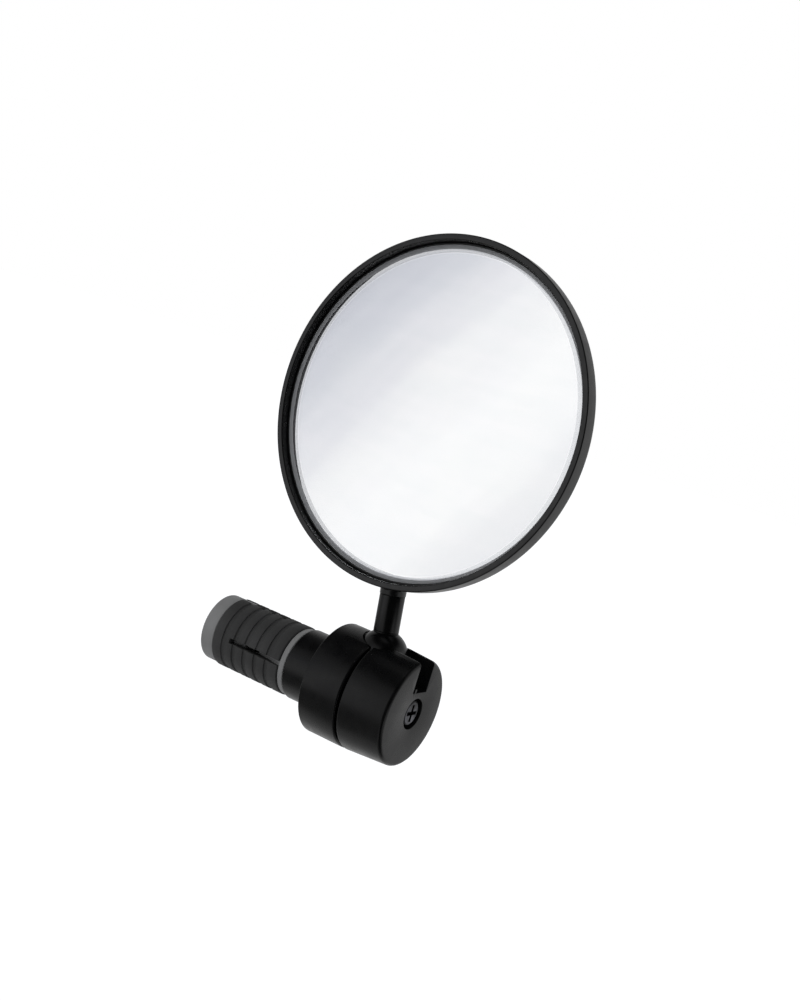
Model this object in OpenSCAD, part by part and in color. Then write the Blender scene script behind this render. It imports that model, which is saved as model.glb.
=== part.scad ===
// Bar-end bicycle mirror: a round mirror head on a short ball-ended stem.
// The ball is clamped between the two halves of a barrel that closes the end of a handlebar.
// One long screw clamps the ball and draws an expander tight inside the bar.
//
// Frame: millimetres, +X outward along the bar axis, +Z up through the slot, the glass faces -Y.
// The origin is on the bar axis, where the end of the bar meets the barrel's shoulder.

/* [Barrel] */
// Outer diameter of both barrel halves at their seam
barrel_d = 27.4; // [26.6:0.1:30]
// Length of the inner half, from the bar end to the seam
collar_len = 10.3; // [9.5:0.1:13]
// Length of the outer half
cap_len = 11.9; // [11.5:0.1:15]
// Open seam between the two halves, which lets them clamp the ball
seam_gap = 0.6; // [0.2:0.1:0.8]
// How much the outer half's radius shrinks towards its end
cap_taper = 0.8; // [0:0.1:0.9]
// Rounding of the end face's rim
end_round = 1; // [0.4:0.1:1.3]
// Chamfer of both halves' edges at the seam
seam_chamfer = 0.4; // [0.1:0.1:0.6]
// Chamfer of the other barrel edges
edge_chamfer = 0.3; // [0.1:0.1:0.5]
// Diameter of the two dowels that keep the halves in line
dowel_d = 2.5; // [2:0.1:2.8]
// Length of each dowel
dowel_len = 7; // [5:0.5:8]
// Depth of each dowel's axis below the barrel's surface
dowel_inset = 3.8; // [3:0.1:4.2]
// Angle of each dowel below the horizontal
dowel_angle = 34; // [20:1:60]

/* [Ball joint] */
// Diameter of the ball
ball_d = 12.2; // [12:0.1:12.8]
// Depth of the ball's centre below the barrel's surface
ball_inset = 3.9; // [3.3:0.1:4]
// Radial clearance between the ball and its pocket
ball_clearance = 0.1; // [0.05:0.01:0.15]
// Extra gap round the ball at the pocket's mouth
mouth_gap = 0.35; // [0.2:0.05:0.5]
// Depth of that wider mouth below the barrel's surface
mouth_depth = 0.6; // [0.3:0.1:0.8]
// Height of the flat on top of the ball, above its centre
ball_flat = 5.3; // [5:0.1:5.3]
// Depth of the slot's floor below the barrel's surface
slot_depth = 8.5; // [7.9:0.1:8.6]
// Clearance on each side of the stem in the slot
slot_clearance = 0.1; // [0.1:0.05:0.4]
// Height of the small rib at the slot's outer end
rib_h = 1; // [0.5:0.1:1.2]
// Width of that rib
rib_w = 0.9; // [0.6:0.1:1.4]
// Diameter of the friction pad behind the ball
pad_d = 5.6; // [4.6:0.1:6]
// Depth of the friction pad's pocket behind the ball's pocket
pad_depth = 2; // [1.5:0.1:2.5]

/* [Stem] */
// Diameter of the stem
stem_d = 6; // [5:0.1:6.1]
// Distance from the ball's centre to the head's rim
stem_reach = 15.5; // [15:0.5:24]
// Diameter of the stem's lower tenon, which turns in the ball
tenon_d = 4; // [3.6:0.1:4.2]
// Distance of the tenon's end below the ball's centre
tenon_drop = 3.5; // [3.2:0.1:3.6]
// Thickness of the thin washer between the stem and the ball
ball_washer_t = 0.3; // [0.2:0.05:0.4]
// Thread diameter of the small screw that holds the ball on the stem
ball_screw_d = 2.5; // [2:0.1:2.6]
// Diameter of that screw's countersunk head
ball_screw_head_d = 4.7; // [4.2:0.1:4.8]
// Diameter of the stem's upper threaded tenon in the case
top_tenon_d = 2.5; // [2:0.1:2.6]
// Length of the stem's upper tenon
top_tenon_len = 2.5; // [2:0.1:2.6]
// Radial clearance of the parts that turn or slide in each other
running_clearance = 0.05; // [0.02:0.01:0.08]

/* [Clamp screw] */
// Thread diameter
screw_d = 4; // [3.5:0.1:4.2]
// Diameter of the head
screw_head_d = 6.4; // [6:0.1:7]
// Rounding of the head's shoulder
screw_head_round = 0.7; // [0.3:0.1:1]
// Height of the head
screw_head_h = 2.2; // [1.8:0.1:2.6]
// Length of each arm of the cross recess
recess_span = 4.2; // [3.6:0.1:4.6]
// Width of each arm of the cross recess
recess_w = 1; // [0.7:0.05:1.1]
// Depth of the cross recess
recess_depth = 1.5; // [1:0.1:1.6]
// Diameter of the counterbore in the end face
counterbore_d = 7.5; // [7.3:0.1:8.4]
// How far the screw head lies below the end face
head_sink = 0.4; // [0.2:0.1:1]
// Diameter of the screw's holes
screw_hole_d = 4.4; // [4.3:0.1:4.6]
// Outer diameter of the flat and spring washers under the head
washer_d = 7.1; // [6.8:0.1:7.2]
// Thickness of the flat washer
flat_washer_t = 0.8; // [0.5:0.1:1]
// Thickness of the split spring washer
spring_washer_t = 1; // [0.8:0.1:1.2]
// How far the screw's tip passes the captive nut
screw_overrun = 2.4; // [1:0.2:4]

/* [Expander] */
// Diameter of the plug that enters the bar
plug_d = 17.6; // [17:0.1:18.4]
// Length of that plug
plug_len = 9; // [7:0.5:14]
// Outer diameter of the slit sleeve
sleeve_d = 17.4; // [17:0.1:17.6]
// Length of the slit sleeve
sleeve_len = 20; // [18:0.5:26]
// Bore of the slit sleeve between its conical mouths
sleeve_bore_d = 12.4; // [12:0.1:13]
// Width of the sleeve's slits
slit_w = 1.2; // [1:0.1:1.6]
// Length of each slit
slit_len = 15; // [12:0.5:17]
// Number of grip grooves round the sleeve
groove_count = 5; // [1:1:6]
// Width of each groove
groove_w = 1.2; // [0.8:0.1:1.6]
// Depth of each groove
groove_depth = 0.35; // [0.2:0.05:0.4]
// Length of each cone
cone_len = 8; // [7:0.5:8.5]
// Large diameter of each cone
cone_big_d = 15.8; // [15.4:0.1:16]
// Small diameter of each cone
cone_small_d = 11.4; // [10.8:0.1:11.8]
// Thickness of the front cone's flange
flange_t = 1.5; // [1:0.1:2.5]
// Diameter of both cones' flanges
flange_d = 16.8; // [16.4:0.1:17]
// Width of the rear cone's two keys, which ride in the sleeve's slits
key_w = 0.9; // [0.6:0.05:0.95]
// Width of the captive nut across its flats
nut_af = 7; // [6.6:0.1:7.4]
// Thickness of the captive nut
nut_t = 3.2; // [2.8:0.1:3.6]

/* [Mirror head] */
// Outer diameter of the case
head_d = 83.4; // [76:0.2:92]
// Width of the flat front rim
rim_w = 1.5; // [1.2:0.1:2.2]
// Rounding of the rim's outer front edge
rim_round = 0.3; // [0.1:0.05:0.5]
// Height of the straight side wall
side_h = 3.4; // [3.2:0.1:4.4]
// Radius of the corner between the side wall and the back
back_round = 2; // [1.5:0.1:2.4]
// Full depth of the case at its centre
case_depth = 7.6; // [7.2:0.1:9]
// Depth of the stem's axis behind the rim's front
stem_depth = 4.8; // [4.8:0.1:5.4]
// Diameter of the neck that holds the stem
neck_d = 6.2; // [5.8:0.1:6.6]
// How far the neck stands out of the rim
neck_out = 1.3; // [1:0.1:2]
// Length of the neck's rib on the back, before its round end
neck_rib_len = 11; // [9:0.5:13]
// Diameter of the shallow recess for the foam pad
foam_d = 52; // [46:0.5:54]
// Thickness of the foam pad at its edge
foam_t = 1; // [0.8:0.1:1.2]

/* [Glass] */
// How far the edge of the glass lies below the rim
glass_sink = 2; // [1.2:0.1:2.2]
// Thickness of the glass
glass_t = 1.6; // [1.4:0.1:1.7]
// Radius of the gently convex face
glass_curve_r = 1200; // [1100:50:2000]
// Width of the ground bevel round the front of the glass
glass_bevel_w = 1.4; // [0.3:0.1:1.6]
// Height of that bevel
glass_bevel_h = 0.3; // [0.2:0.1:0.9]
// Thickness of the reflective coating
coat_t = 0.1; // [0.06:0.02:0.1]
// Width of the rubber ring between the glass and the wall
gasket_w = 0.45; // [0.3:0.05:0.8]
// Fitting gap round the rubber ring
gasket_gap = 0.05; // [0.03:0.01:0.1]

/* [Aim] */
// Lean of the stem, 0 upright and 90 straight outward along the bar
stem_lean = -7.5; // [-20:0.5:90]
// Turn of the head about the stem
head_turn = -4; // [-180:1:180]
// Fixed tip of the face against the stem
face_tip = -4; // [-4:0.5:0]

/* [Hidden] */
$fn = 96;
// A cut runs past the surface it opens by this much
over = 1;
// Radial gap between a plain thread and its hole
thread_gap = 0.02;
// Steps of a short rounding and of a long shallow curve
round_steps = 8;
curve_steps = 10;

barrel_r = barrel_d / 2;
seam_x = collar_len + seam_gap / 2;
cap_x = collar_len + seam_gap;
barrel_len = cap_x + cap_len;
ball_height = barrel_r - ball_inset;
slot_floor = barrel_r - slot_depth;
pocket_r = ball_d / 2 + ball_clearance;
slot_w = stem_d + 2 * slot_clearance;

counterbore_floor = barrel_len - head_sink - screw_head_h - spring_washer_t - flat_washer_t;
spring_washer_x = counterbore_floor + flat_washer_t;
screw_seat_x = spring_washer_x + spring_washer_t;

// A small fitting gap between flat faces of the expander's parts
stack_gap = 0.1;
sleeve_front_x = -plug_len - flange_t - stack_gap;
sleeve_rear_x = sleeve_front_x - sleeve_len;
rear_flange_x = sleeve_rear_x - stack_gap;
nut_cover = 0.6;
nut_x = rear_flange_x - nut_cover - nut_t;
screw_tip_x = nut_x - screw_overrun;
// Radial gap round the nut in its pocket and round the keys in their slits
nut_gap = 0.1;

stem_foot = ball_flat + ball_washer_t;
stem_shoulder = stem_reach - neck_out;
small_hole_clearance = 0.1;
// The countersunk head stays this far inside the ball's surface
head_inset = 0.2;
ball_screw_r = ball_screw_d / 2;
ball_screw_head_r = ball_screw_head_d / 2;
ball_screw_face = sqrt(pow(ball_d / 2, 2) - pow(ball_screw_head_r, 2)) - head_inset;
ball_screw_neck = ball_screw_face - (ball_screw_head_r - ball_screw_r);
ball_screw_grip = 2.6;

head_r = head_d / 2;
pocket_in_case_r = head_r - rim_w;
glass_r = pocket_in_case_r - gasket_w - 2 * gasket_gap;
glass_seat_gap = 0.05;
ledge_z = glass_sink + glass_t + coat_t + glass_seat_gap;
foam_floor_z = ledge_z + foam_t;
foam_gap = 0.3;
// Dome of the back: a circle that meets the corner's circle and the full depth
dome_rise = case_depth - side_h;
corner_r_at = head_r - back_round;
dome_r = (pow(corner_r_at, 2) + pow(dome_rise, 2) - pow(back_round, 2)) / (2 * (dome_rise - back_round));
dome_z = dome_r - case_depth;
corner_angle = atan2(-side_h - dome_z, corner_r_at);

function arc(cx, cy, r, from, to, steps) =
    [for (i = [0:steps]) let (a = from + (to - from) * i / steps) [cx + r * cos(a), cy + r * sin(a)]];

function groove_x(i) = sleeve_rear_x + sleeve_len * i / (groove_count + 1);

// Drop of the convex face at a distance r from its centre, and the face's height there
function sag(r) = glass_curve_r - sqrt(pow(glass_curve_r, 2) - pow(r, 2));
function glass_front(r) = sag(glass_r) - glass_sink - sag(r);
function glass_back(r) = glass_front(r) - glass_t;
function radii(last) = [for (i = [0:curve_steps]) last * i / curve_steps];

// ---------- places ----------

module along_bar(x = 0) {
    translate([x, 0, 0]) rotate([0, 90, 0]) children();
}

module at_ball() {
    translate([seam_x, 0, ball_height]) children();
}

module on_stem() {
    at_ball() rotate([0, stem_lean, 0]) rotate([0, 0, head_turn]) children();
}

// The face's own frame: origin at the centre of the rim's front, +Z out of the glass, +Y up
module on_face() {
    on_stem() translate([0, 0, stem_reach]) rotate([face_tip, 0, 0])
        translate([0, -stem_depth, head_r]) rotate([90, 0, 0]) children();
}

// ---------- shared shapes ----------

// A tube or disc along the bar from x0 to x1
module ring_x(r_out, r_in, x0, x1) {
    along_bar(x0) difference() {
        cylinder(r = r_out, h = x1 - x0);
        translate([0, 0, -over]) cylinder(r = r_in, h = x1 - x0 + 2 * over);
    }
}

module hole_x(r, x0, x1) {
    along_bar(x0) cylinder(r = r, h = x1 - x0);
}

// The pocket opens a little wider at its mouth, so that the barrel's skin stays clear of the ball
module ball_pocket() {
    at_ball() sphere(r = pocket_r);
    intersection() {
        at_ball() sphere(r = pocket_r + mouth_gap);
        ring_x(barrel_r + over, barrel_r - mouth_depth, 0, barrel_len);
    }
}

module dowel_places() {
    dowel_r = barrel_r - dowel_inset;
    for (side = [-1, 1])
        translate([0, side * dowel_r * cos(dowel_angle), -dowel_r * sin(dowel_angle)]) children();
}

module dowel_holes() {
    end_room = 0.3;
    dowel_places() hole_x(dowel_d / 2, seam_x - dowel_len / 2 - end_room, seam_x + dowel_len / 2 + end_room);
}

// Cone that points away from its flange, with extra added all round for the sleeve's mouth
module cone_x(flange_x, direction, extra = 0) {
    translate([flange_x, 0, 0]) rotate([0, 90 * direction, 0])
        cylinder(r1 = cone_big_d / 2 + extra, r2 = cone_small_d / 2 + extra, h = cone_len);
}

// ---------- barrel ----------

module inner_collar() {
    lead_in = 0.5;
    color([0.07, 0.07, 0.08]) difference() {
        along_bar() rotate_extrude() polygon([
            [0, -plug_len],
            [plug_d / 2 - lead_in, -plug_len],
            [plug_d / 2, -plug_len + lead_in],
            [plug_d / 2, 0],
            [barrel_r - edge_chamfer, 0],
            [barrel_r, edge_chamfer],
            [barrel_r, collar_len - seam_chamfer],
            [barrel_r - seam_chamfer, collar_len],
            [0, collar_len]]);
        hole_x(screw_hole_d / 2, -plug_len - over, collar_len + over);
        ball_pocket();
        translate([0, 0, ball_height]) hole_x(pad_d / 2, seam_x - pocket_r - pad_depth, seam_x);
        dowel_holes();
    }
}

module end_cap() {
    end_r = barrel_r - cap_taper;
    rib_len = 1.6;
    // The rib stands this far from the slot's wall and starts this far under the slot's floor
    rib_gap = 0.7;
    rib_root = 0.4;
    color([0.09, 0.09, 0.1]) {
        difference() {
            along_bar() rotate_extrude() polygon(concat([
                [0, cap_x],
                [barrel_r - seam_chamfer, cap_x],
                [barrel_r, cap_x + seam_chamfer]],
                arc(end_r - end_round, barrel_len - end_round, end_round, 0, 90, round_steps), [
                [0, barrel_len]]));
            hole_x(screw_hole_d / 2, cap_x - over, barrel_len);
            hole_x(counterbore_d / 2, counterbore_floor, barrel_len + over);
            ball_pocket();
            translate([seam_x, -slot_w / 2, slot_floor]) cube([barrel_len, slot_w, barrel_d]);
            dowel_holes();
        }
        translate([barrel_len - rib_len, rib_gap - slot_w / 2, slot_floor - rib_root])
            cube([rib_len, rib_w, rib_root + rib_h]);
    }
}

module alignment_dowels() {
    color([0.7, 0.7, 0.72]) dowel_places()
        hole_x(dowel_d / 2, seam_x - dowel_len / 2, seam_x + dowel_len / 2);
}

module friction_pad() {
    pad_end_room = 0.05;
    color([0.85, 0.85, 0.8]) difference() {
        translate([0, 0, ball_height])
            hole_x(pad_d / 2, seam_x - pocket_r - pad_depth + pad_end_room, seam_x - ball_d / 4);
        at_ball() sphere(r = ball_d / 2 + running_clearance);
    }
}

// ---------- clamp screw ----------

module flat_washer() {
    color([0.2, 0.2, 0.21]) ring_x(washer_d / 2, screw_hole_d / 2, counterbore_floor, spring_washer_x);
}

module spring_washer() {
    split_w = 0.8;
    color([0.2, 0.2, 0.21]) difference() {
        ring_x(washer_d / 2, screw_hole_d / 2, spring_washer_x, screw_seat_x);
        translate([spring_washer_x - over, 0, -split_w / 2])
            cube([spring_washer_t + 2 * over, washer_d, split_w]);
    }
}

module clamp_screw() {
    head_r1 = screw_head_d / 2;
    shoulder = screw_head_round;
    head_x = screw_seat_x + screw_head_h;
    color([0.15, 0.15, 0.16]) difference() {
        along_bar() rotate_extrude() polygon(concat([
            [0, screw_tip_x],
            [screw_d / 2 - edge_chamfer, screw_tip_x],
            [screw_d / 2, screw_tip_x + edge_chamfer],
            [screw_d / 2, screw_seat_x],
            [head_r1, screw_seat_x]],
            arc(head_r1 - shoulder, head_x - shoulder, shoulder, 0, 90, round_steps), [
            [0, head_x]]));
        for (turn = [0, 90]) rotate([turn, 0, 0])
            translate([head_x - recess_depth, -recess_w / 2, -recess_span / 2])
                cube([recess_depth + over, recess_w, recess_span]);
    }
}

// ---------- expander ----------

module front_cone() {
    color([0.55, 0.56, 0.58]) difference() {
        union() {
            hole_x(flange_d / 2, -plug_len - flange_t, -plug_len);
            cone_x(-plug_len - flange_t, -1);
        }
        hole_x(screw_hole_d / 2, -plug_len - flange_t - cone_len - over, over);
    }
}

module expander_sleeve() {
    color([0.2, 0.2, 0.22]) difference() {
        ring_x(sleeve_d / 2, sleeve_bore_d / 2, sleeve_rear_x, sleeve_front_x);
        cone_x(-plug_len - flange_t, -1, running_clearance);
        cone_x(rear_flange_x, 1, running_clearance);
        translate([sleeve_front_x - slit_len, -sleeve_d, -slit_w / 2])
            cube([slit_len + over, 2 * sleeve_d, slit_w]);
        translate([sleeve_rear_x - over, -slit_w / 2, -sleeve_d])
            cube([slit_len + over, slit_w, 2 * sleeve_d]);
        for (i = [1:groove_count])
            translate([groove_x(i), 0, 0])
                ring_x(sleeve_d, sleeve_d / 2 - groove_depth, -groove_w / 2, groove_w / 2);
    }
}

module rear_cone() {
    key_r = sleeve_d / 2 - nut_gap;
    key_len = cone_len / 2;
    flange_len = nut_cover + nut_t;
    color([0.55, 0.56, 0.58]) difference() {
        union() {
            hole_x(flange_d / 2, rear_flange_x - flange_len, rear_flange_x);
            cone_x(rear_flange_x, 1);
            translate([rear_flange_x - over, -key_w / 2, -key_r]) cube([key_len + over, key_w, 2 * key_r]);
        }
        hole_x(screw_hole_d / 2, rear_flange_x - flange_len - over, rear_flange_x + cone_len + over);
        along_bar(nut_x - over) cylinder(r = nut_af / 2 / cos(30) + nut_gap, h = nut_t + over, $fn = 6);
    }
}

module captive_nut() {
    color([0.75, 0.75, 0.77]) difference() {
        along_bar(nut_x) cylinder(r = nut_af / 2 / cos(30), h = nut_t, $fn = 6);
        hole_x(screw_d / 2 + running_clearance, nut_x - over, nut_x + nut_t + over);
    }
}

// ---------- ball and stem ----------

module stem_ball() {
    ball_r = ball_d / 2;
    tenon_hole_r = tenon_d / 2 + running_clearance;
    screw_hole_r = ball_screw_r + small_hole_clearance;
    sink_len = 3;
    color([0.08, 0.08, 0.09]) on_stem() difference() {
        sphere(r = ball_r);
        translate([-ball_r, -ball_r, ball_flat]) cube(ball_d);
        translate([0, 0, -tenon_drop - small_hole_clearance]) cylinder(r = tenon_hole_r, h = ball_d);
        translate([0, 0, -ball_d]) cylinder(r = screw_hole_r, h = ball_d);
        translate([0, 0, -ball_screw_neck]) rotate([180, 0, 0])
            cylinder(r1 = screw_hole_r, r2 = screw_hole_r + sink_len, h = sink_len);
    }
}

module ball_washer() {
    color([0.07, 0.07, 0.08]) on_stem() translate([0, 0, ball_flat]) difference() {
        cylinder(r = stem_d / 2, h = ball_washer_t);
        translate([0, 0, -over]) cylinder(r = tenon_d / 2 + running_clearance, h = ball_washer_t + 2 * over);
    }
}

module stem_rod() {
    color([0.08, 0.08, 0.09]) on_stem() difference() {
        union() {
            translate([0, 0, -tenon_drop]) cylinder(r = tenon_d / 2, h = stem_foot + tenon_drop);
            translate([0, 0, stem_foot]) cylinder(r = stem_d / 2, h = stem_shoulder - stem_foot);
            translate([0, 0, stem_shoulder]) cylinder(r = top_tenon_d / 2, h = top_tenon_len);
        }
        translate([0, 0, -tenon_drop - over]) cylinder(r = ball_screw_r, h = ball_screw_grip + 2 * over);
    }
}

module ball_screw() {
    color([0.5, 0.5, 0.52]) on_stem() rotate([180, 0, 0]) difference() {
        union() {
            translate([0, 0, tenon_drop - ball_screw_grip])
                cylinder(r = ball_screw_r, h = ball_screw_neck - tenon_drop + ball_screw_grip);
            translate([0, 0, ball_screw_neck]) cylinder(
                r1 = ball_screw_r, r2 = ball_screw_head_r, h = ball_screw_face - ball_screw_neck);
        }
        drive_w = 0.6;
        drive_depth = 0.7;
        for (turn = [0, 90]) rotate([0, 0, turn])
            translate([-ball_screw_r, -drive_w / 2, ball_screw_face - drive_depth])
                cube([ball_screw_d, drive_w, over + drive_depth]);
    }
}

// ---------- mirror head ----------

module case_body() {
    on_face() rotate_extrude($fn = 180) polygon(concat(
        [[0, 0]],
        arc(head_r - rim_round, -rim_round, rim_round, 90, 0, round_steps),
        arc(corner_r_at, -side_h, back_round, 0, corner_angle, round_steps),
        [for (i = [curve_steps - 1:-1:0]) let (a = -90 + (corner_angle + 90) * i / curve_steps)
            [dome_r * cos(a), dome_z + dome_r * sin(a)]]));
}

module case_neck() {
    neck_len = neck_out + neck_rib_len;
    on_stem() translate([0, 0, stem_shoulder]) {
        cylinder(r = neck_d / 2, h = neck_len);
        translate([0, 0, neck_len]) sphere(r = neck_d / 2);
    }
}

module mirror_case() {
    color([0.08, 0.08, 0.09]) difference() {
        union() {
            case_body();
            case_neck();
        }
        on_face() translate([0, 0, -ledge_z]) cylinder(r = pocket_in_case_r, h = ledge_z + over, $fn = 180);
        on_face() translate([0, 0, -foam_floor_z]) cylinder(r = foam_d / 2 + foam_gap, h = foam_floor_z);
        on_stem() translate([0, 0, stem_shoulder - over])
            cylinder(r = top_tenon_d / 2 + thread_gap, h = over + top_tenon_len + thread_gap);
    }
}

module edge_gasket() {
    color([0.04, 0.04, 0.04]) on_face() translate([0, 0, -ledge_z + gasket_gap]) difference() {
        height = ledge_z - glass_sink - glass_bevel_h - gasket_gap;
        cylinder(r = pocket_in_case_r - gasket_gap, h = height, $fn = 180);
        translate([0, 0, -over]) cylinder(r = glass_r + gasket_gap, h = height + 2 * over, $fn = 180);
    }
}

module mirror_glass() {
    color([0.85, 0.9, 0.92, 0.6]) on_face() rotate_extrude($fn = 180) polygon(concat(
        [for (r = radii(glass_r - glass_bevel_w)) [r, glass_front(r)]],
        [[glass_r, glass_front(glass_r) - glass_bevel_h]],
        [for (i = [curve_steps:-1:0]) let (r = glass_r * i / curve_steps) [r, glass_back(r)]]));
}

module reflective_coat() {
    color([0.92, 0.93, 0.95]) on_face() rotate_extrude($fn = 180) polygon(concat(
        [for (r = radii(glass_r)) [r, glass_back(r)]],
        [for (i = [curve_steps:-1:0]) let (r = glass_r * i / curve_steps) [r, glass_back(r) - coat_t]]));
}

module foam_pad() {
    color([0.3, 0.3, 0.32]) on_face() rotate_extrude() polygon(concat(
        [[0, -foam_floor_z], [foam_d / 2, -foam_floor_z]],
        [for (i = [curve_steps:-1:0]) let (r = foam_d / 2 * i / curve_steps)
            [r, glass_back(r) - coat_t - glass_seat_gap]]));
}

inner_collar();
end_cap();
alignment_dowels();
friction_pad();
flat_washer();
spring_washer();
clamp_screw();
front_cone();
expander_sleeve();
rear_cone();
captive_nut();
stem_ball();
ball_washer();
stem_rod();
ball_screw();
mirror_case();
edge_gasket();
mirror_glass();
reflective_coat();
foam_pad();
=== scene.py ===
"""Looks of the bar-end bicycle mirror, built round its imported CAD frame.

Every piece is modelled in millimetres in one of three frames and then placed in the row frame in metres:
BAR   +X outward along the bar, origin where the bar meets the barrel
STEM  origin at the ball's centre, +Z up along the stem
FACE  origin at the centre of the rim's front, +Z out of the glass, +Y up
"""

import math

import bmesh
import bpy
from mathutils import Matrix, Vector


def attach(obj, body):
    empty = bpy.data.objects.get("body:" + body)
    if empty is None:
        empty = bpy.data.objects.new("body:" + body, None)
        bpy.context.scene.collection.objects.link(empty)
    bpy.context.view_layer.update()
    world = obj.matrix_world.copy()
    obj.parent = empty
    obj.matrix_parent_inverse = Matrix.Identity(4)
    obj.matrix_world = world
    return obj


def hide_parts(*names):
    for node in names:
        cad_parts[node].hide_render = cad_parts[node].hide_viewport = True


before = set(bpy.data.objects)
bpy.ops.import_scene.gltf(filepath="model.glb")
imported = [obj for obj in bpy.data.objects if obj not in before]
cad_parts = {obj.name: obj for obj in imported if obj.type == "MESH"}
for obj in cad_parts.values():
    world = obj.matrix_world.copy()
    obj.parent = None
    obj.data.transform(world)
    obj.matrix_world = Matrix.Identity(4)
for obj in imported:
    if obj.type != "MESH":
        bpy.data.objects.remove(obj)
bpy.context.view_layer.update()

MM = 0.001

# ---------- sizes in millimetres ----------

# Barrel
BARREL_R = 13.699  # a hair under the CAD's, whose flat-sided circles set the size box
END_R = 12.9
COLLAR_LEN = 10.3
SEAM_X = 10.6
CAP_X = 10.9
BARREL_LEN = 22.8
END_ROUND = 1.0
SEAM_EDGE = 0.5
PLUG_R = 8.8
PLUG_LEN = 9.0
PLUG_LEAD_IN = 0.5
BALL_HEIGHT = 9.8
POCKET_R = 6.2
MOUTH_R = 6.55
MOUTH_DEPTH = 0.6
SLOT_FLOOR = 5.2
SLOT_HALF_W = 3.1
RIB_LEN = 1.6
RIB_W = 0.9
RIB_H = 1.0
RIB_GAP = 0.7
PAD_R = 2.8
PAD_FLOOR_X = 2.4
COUNTERBORE_R = 3.75
COUNTERBORE_FLOOR = 18.4
SCREW_HOLE_R = 2.2
SOFT_EDGE = 0.16

# Ball and stem
BALL_R = 6.1
BALL_FLAT = 5.3
STEM_R = 3.0
STEM_FOOT = 5.6
STEM_SHOULDER = 14.2
STEM_REACH = 15.5
TENON_R = 2.0
TENON_DROP = 3.5
TENON_HOLE_R = 2.05
BALL_SCREW_R = 1.25
BALL_SCREW_SINK_R = 2.3
BALL_SCREW_LEN = 2.6
TOP_TENON_LEN = 2.5

# Clamp screw
SCREW_R = 2.0
SCREW_TIP_X = -36.9
SCREW_SEAT_X = 20.2
SCREW_HEAD_R = 3.2
SCREW_HEAD_H = 2.2
SCREW_HEAD_ROUND = 0.7
THREAD_PITCH = 0.7
THREAD_DEPTH = 0.38
THREAD_START_X = SCREW_TIP_X + 0.45
THREAD_END_X = -12.0
THREAD_STEPS = 8  # rings to a turn
RECESS_SPAN = 4.2
RECESS_W = 1.0
RECESS_DEPTH = 1.5

# Expander
CONE_LEN = 8.0
CONE_BIG_R = 7.9
CONE_SMALL_R = 5.7
FLANGE_R = 8.4
FRONT_FLANGE_X = -10.5
REAR_FLANGE_X = -30.7
REAR_END_X = -34.5
NUT_T = 3.2
NUT_R = 7 / 2 / math.cos(math.radians(30))
NUT_GAP = 0.1
KEY_W = 0.9
KEY_R = 8.6
SLEEVE_R = 8.7
SLEEVE_BORE_R = 6.2
SLEEVE_FRONT_X = -10.6
SLEEVE_REAR_X = -30.6
SLIT_LEN = 15.0
SLIT_W = 1.2
GROOVES = 5
GROOVE_W = 1.2
GROOVE_DEPTH = 0.35

# Mirror head
HEAD_R = 41.693  # a hair under the CAD's, as for the barrel
RIM_W = 1.5
RIM_ROUND = 0.3
LIP_ROUND = 0.3
SIDE_H = 3.4
BACK_ROUND = 2.0
CASE_DEPTH = 7.6
STEM_DEPTH = 4.8
NECK_R = 3.1
NECK_LEN = 12.3
NECK_INSET = 0.3  # how far the neck stays off the pocket, inside the case's wall
LEDGE_Z = -3.75
FOAM_FLOOR_Z = -4.75
FOAM_R = 26.0
FOAM_POCKET_R = 26.3
GLASS_R = 39.65
GLASS_SINK = 2.0
GLASS_T = 1.6
GLASS_CURVE_R = 1200.0
GLASS_BEVEL_W = 1.4
GLASS_BEVEL_H = 0.3
GLASS_EDGE = 0.25  # the face's last ring, which keeps the shading of the bevel off the face
COAT_R = GLASS_R - 0.3
COAT_T = 0.1
COAT_LIFT = 0.02  # keeps it off the glass
COAT_SEAL_W = 0.7
POCKET_WALL_R = HEAD_R - RIM_W
GASKET_TOP_Z = -2.3
FIT_GAP = 0.05

# ---------- frames ----------

STEM_LEAN = -7.5
HEAD_TURN = -4.0
FACE_TIP = -4.0


def turned(degrees, axis):
    return Matrix.Rotation(math.radians(degrees), 4, axis)


def moved(x, y, z):
    return Matrix.Translation((x, y, z))


BAR = Matrix.Identity(4)
ALONG_BAR = turned(90, "Y")
STEM = moved(SEAM_X, 0, BALL_HEIGHT) @ turned(STEM_LEAN, "Y") @ turned(HEAD_TURN, "Z")
HEAD = STEM @ moved(0, 0, STEM_REACH) @ turned(FACE_TIP, "X")
FACE = HEAD @ moved(0, -STEM_DEPTH, HEAD_R) @ turned(90, "X")

# ---------- mesh tools ----------

SEGMENTS = 192
FILLET_STEPS = 5
SHARP_ANGLE = math.radians(34)


def fillet(corners, steps=FILLET_STEPS):
    """A closed outline whose corners (x, y, radius) are rounded."""
    outline = []
    count = len(corners)
    for i, (x, y, radius) in enumerate(corners):
        here = Vector((x, y))
        if radius <= 0:
            outline.append((x, y))
            continue
        back = Vector(corners[i - 1][:2]) - here
        ahead = Vector(corners[(i + 1) % count][:2]) - here
        half = back.angle(ahead) / 2
        reach = min(radius / math.tan(half), 0.49 * back.length, 0.49 * ahead.length)
        radius = reach * math.tan(half)
        back.normalize()
        ahead.normalize()
        centre = here + (back + ahead).normalized() * (radius / math.sin(half))
        start = here + back * reach - centre
        end = here + ahead * reach - centre
        swing = start.angle_signed(end)
        for step in range(steps + 1):
            point = start.copy()
            point.rotate(Matrix.Rotation(-swing * step / steps, 2))
            outline.append(tuple(centre + point))
    return outline


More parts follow.
